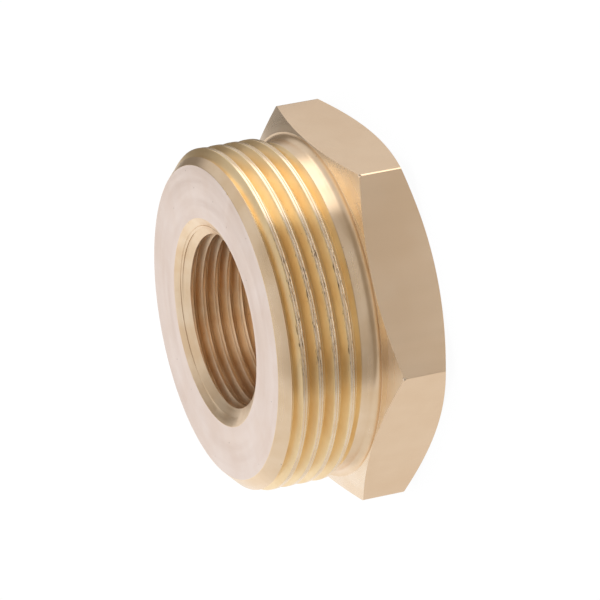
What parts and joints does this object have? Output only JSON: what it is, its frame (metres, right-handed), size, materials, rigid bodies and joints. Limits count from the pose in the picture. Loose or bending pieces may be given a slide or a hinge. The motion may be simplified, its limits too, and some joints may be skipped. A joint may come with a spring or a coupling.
{
  "type": "hex bushing",
  "caption": "Brass reducing hex bushing: hexagonal head, male pipe thread with a plain collar behind it, and a female pipe thread right through.",
  "frame": {"origin": "centre of the hexagon's end face, on the bore's axis; the bushing stands on this face", "axes": "+Z along the bore towards the male thread; two corners of the hexagon lie on the X axis"},
  "size_m": [0.0558, 0.0484, 0.0236],
  "materials": {
    "brass": "as machined, satin"
  },
  "bodies": {
    "root": {"hex_bushing": "brass"}
  },
  "joints": []
}
